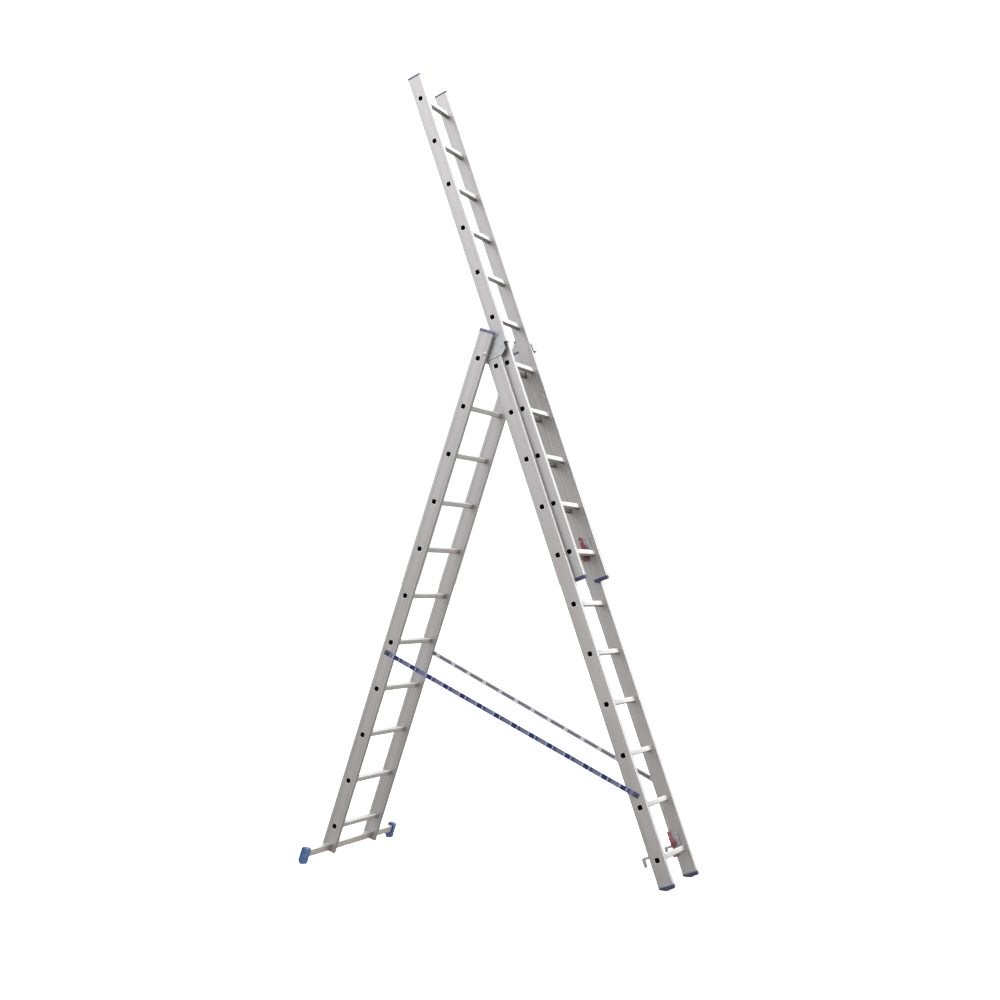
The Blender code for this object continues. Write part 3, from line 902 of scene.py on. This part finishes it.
def make_hooks(materials):
    """Steel hooks on the stiles' inner faces, with two rivets and the headed pin of the latch."""
    for section in "bc":
        place = PLACES[section]
        for side, sign in SIDES.items():
            node = f"hook_{section}_{side}"
            bm = from_node(node, place, HOOK_EDGE)
            face = inner_y(*local_box(f"stile_{section}_{side}", place), sign) - sign * HOOK_FACE
            for middle in HOOK_RIVETS:
                rivet(bm, middle, face, -sign, HOOK_RIVET_R)
            tip = inner_y(*local_box(node, place), sign)
            pin = latch_pivot(section, side, place)
            turned(bm, (pin.x, pin.z), [(tip + sign * out, radius) for out, radius in PIN_HEAD], 28)
            hook = add_piece(f"{node}_plate", bm, place, f"section_{section}",
                             [materials["steel"]], (node,))
            keep_flats_flat(hook)


def latch_pivot(section, side, place):
    """A latch's pin in its section's frame."""
    name = f"latch_{section}_{side}_pivot"
    return place.inverted() @ Vector(next(j["pos_m"] for j in frame["joints"] if j["name"] == name))


def make_latches(materials):
    """Red levers with a ribbed thumb pad and two ridges down to the toe."""
    for section in "bc":
        place = PLACES[section]
        for side, sign in SIDES.items():
            node = f"latch_{section}_{side}"
            bm = from_node(node, place, LATCH_EDGE, 3)
            low, high = local_box(node, place)
            face = inner_y(low, high, sign)
            pin = latch_pivot(section, side, place)
            low_y, high_y = sorted((face + sign * 0.001, face - sign * LATCH_PROUD))
            low_x, high_x = (pin.x + reach for reach in LATCH_RIB_SPAN)
            for step in range(LATCH_RIBS):
                z = low.z + LATCH_RIB_LOW + step * LATCH_RIB_STEP
                box(bm, (low_x, low_y, z - LATCH_RIB_HALF), (high_x, high_y, z + LATCH_RIB_HALF), 0.0005)
            low_z, high_z = (low.z + up for up in LATCH_RIDGE_SPAN)
            for x in (pin.x + across for across in LATCH_RIDGES):
                box(bm, (x - LATCH_RIDGE_HALF, low_y, low_z), (x + LATCH_RIDGE_HALF, high_y, high_z), 0.0004)
            latch = add_piece(f"{node}_moulded", bm, place, f"latch_{section}_{side}_body",
                              [materials["red"]], (node,))
            keep_flats_flat(latch)


# ---------------------------------------------------------------- straps


def strap_ends(side):
    """The strap's two ends on its middle line, its direction and its width, from its CAD solid."""
    corners = {tuple(round(c, 5) for c in v.co) for v in nodes[f"strap_{side}"].data.vertices}
    points = [Vector(corner) for corner in sorted(corners)]
    middle = sum(points, Vector()) / len(points)
    start_side = [p for p in points if p.x < middle.x]
    end_side = [p for p in points if p.x >= middle.x]
    start = sum(start_side, Vector()) / len(start_side)
    end = sum(end_side, Vector()) / len(end_side)
    along = (end - start).normalized()
    across = along.cross(Vector((0, 1, 0))).normalized()
    spread = [p.dot(across) for p in points]
    return start, end, along, max(spread) - min(spread)


def make_strap(side, sign, materials):
    """A flat woven strap with round selvedges, a soft ripple and bolted ends."""
    start, end, along, wide = strap_ends(side)
    across = along.cross(Vector((0, 1, 0))).normalized()
    out = Vector((0, sign, 0))
    out = (out - along * out.dot(along)).normalized()
    length = (end - start).length
    outline = profile(wide / 2, STRAP_THICK / 2, STRAP_THICK * 0.45, (), STRAP_GROOVES, 3)
    bm = bmesh.new()
    uv = bm.loops.layers.uv.new("strap")
    rings = []
    for k in range(STRAP_STEPS + 1):
        share = k / STRAP_STEPS
        ripple = STRAP_RIPPLE * math.sin(share * math.pi) * math.sin(share * STRAP_WAVES)
        spine = start + along * length * share
        ring = []
        for p in outline:
            lift = ripple * math.cos(p.x / wide * STRAP_CUP)
            ring.append(bm.verts.new(spine + across * p.x + out * (p.y + lift)))
        rings.append(ring)
    loft(bm, rings)
    face_out(bm)
    for face in bm.faces:
        face.material_index = 0 if face.normal.dot(out) > -0.2 else 1
        for loop in face.loops:
            offset = loop.vert.co - start
            loop[uv].uv = (offset.dot(along), offset.dot(across) / wide + 0.5)
    name = f"strap_{side}_webbing"
    strap = add_piece(name, bm, Matrix.Identity(4), None,
                      [materials["strap_out"], materials["strap_in"]], (f"strap_{side}",))
    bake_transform(strap)
    make_strap_bolt("a", side, sign, start + along * SCREW_IN, materials)
    make_strap_bolt("b", side, sign, end - along * SCREW_IN, materials)


def make_strap_bolt(section, side, sign, point, materials):
    """A washer and a domed screw head that hold the strap's end on its stile."""
    place = PLACES[section]
    at = place.inverted() @ point
    middle = (at.x, at.z)
    wall = outer_y(*local_box(f"stile_{section}_{side}", place), sign)
    face = at.y + sign * 0.0009
    bm = bmesh.new()
    washer = [(face, 0.0104), (face + sign * 0.0010, 0.0104), (face + sign * 0.0014, 0.0096)]
    turned(bm, middle, [(wall, 0.0035), (face, 0.0035)], 16)
    turned(bm, middle, washer, 32)
    rivet(bm, middle, face + sign * 0.0012, sign, 0.0064, 0.0030)
    face_out(bm)
    add_piece(f"strap_bolt_{section}_{side}", bm, place, f"section_{section}", [materials["dark"]])


# ---------------------------------------------------------------- stage, light and camera


def make_floor():
    """A pale floor that reaches the horizon."""
    bm = bmesh.new()
    corners = [(-1, -1), (1, -1), (1, 1), (-1, 1)]
    bm.faces.new([bm.verts.new((x * FLOOR_REACH, y * FLOOR_REACH, 0)) for x, y in corners])
    mesh = bpy.data.meshes.new("floor")
    bm.to_mesh(mesh)
    bm.free()
    finish = Finish("pale_floor")
    cloud = finish.noise(finish.coordinates((1, 1, 1)), scale=2.0, detail=2)
    finish.link(finish.ramp(cloud, [(0.3, 0.90), (0.7, 0.93)]), finish.shader.inputs["Base Color"])
    finish.set(Roughness=0.9)
    mesh.materials.append(finish.material)
    floor = bpy.data.objects.new("floor", mesh)
    bpy.context.scene.collection.objects.link(floor)
    floor.visible_glossy = False


def make_world():
    """A bright surround: white at eye level, brighter overhead, and a darker warm tone far below."""
    world = bpy.data.worlds.new("studio")
    world.use_nodes = True
    bpy.context.scene.world = world
    tree = world.node_tree
    background = tree.nodes["Background"]
    source = tree.nodes.new("ShaderNodeTexCoord")
    parts = tree.nodes.new("ShaderNodeSeparateXYZ")
    spread = tree.nodes.new("ShaderNodeMapRange")
    spread.inputs["From Min"].default_value = -1
    ramp = tree.nodes.new("ShaderNodeValToRGB")
    stops = [
        (0.00, (0.080, 0.074, 0.066)),
        (0.25, (0.135, 0.127, 0.117)),
        (0.37, (0.176, 0.168, 0.158)),
        (0.45, (0.186, 0.180, 0.174)),
        (0.475, (0.236, 0.235, 0.234)),
        (0.50, (0.240, 0.240, 0.242)),
        (0.57, (0.365, 0.367, 0.382)),
        (0.64, (0.545, 0.550, 0.580)),
        (0.72, (0.660, 0.670, 0.700)),
        (1.00, (0.520, 0.525, 0.550)),
    ]
    fill_ramp(ramp.color_ramp, stops)
    background.inputs["Strength"].default_value = WORLD_STRENGTH
    tree.links.new(source.outputs["Generated"], parts.inputs[0])
    tree.links.new(parts.outputs["Z"], spread.inputs["Value"])
    tree.links.new(spread.outputs["Result"], ramp.inputs["Fac"])
    tree.links.new(ramp.outputs["Color"], background.inputs["Color"])


def add_softbox(name, place, target, size, power):
    light = bpy.data.lights.new(name, "AREA")
    light.shape = "RECTANGLE"
    light.size, light.size_y = size
    light.energy = power
    lamp = bpy.data.objects.new(name, light)
    bpy.context.scene.collection.objects.link(lamp)
    lamp.location = place
    lamp.rotation_euler = (Vector(target) - Vector(place)).to_track_quat("-Z", "Y").to_euler()


def make_lights():
    add_softbox("right_softbox", (6.5, 0.5, 4.2), (0, 0, 2.0), (4.5, 5.0), 430)
    add_softbox("top_softbox", (0.5, -1.5, 8.0), (0, 0, 1.5), (4.0, 4.0), 220)


def make_camera():
    data = bpy.data.cameras.new("camera")
    data.sensor_width = CAMERA_SENSOR
    data.lens = CAMERA_LENS
    camera = bpy.data.objects.new("camera", data)
    bpy.context.scene.collection.objects.link(camera)
    turn = Matrix.Rotation(CAMERA_YAW, 4, "Z") @ Matrix.Rotation(math.pi / 2 + CAMERA_PITCH, 4, "X")
    roll = Matrix.Rotation(CAMERA_ROLL, 4, "Z")
    camera.matrix_world = Matrix.Translation(HINGE + CAMERA_FROM_HINGE) @ turn @ roll
    bpy.context.scene.camera = camera


def main():
    make_camera()
    make_world()
    make_lights()
    make_floor()
    bpy.context.scene.view_settings.view_transform = "Standard"
    materials = make_materials()
    for section in "abc":
        for side in SIDES:
            make_stile(section, side, materials)
        make_rungs(section, materials)
    make_caps(materials)
    make_stabiliser(materials)
    make_feet(materials)
    make_hinge_bolts(materials)
    make_guides(materials)
    make_hooks(materials)
    make_latches(materials)
    for side, sign in SIDES.items():
        make_strap(side, sign, materials)


main()
bpy.context.view_layer.update()
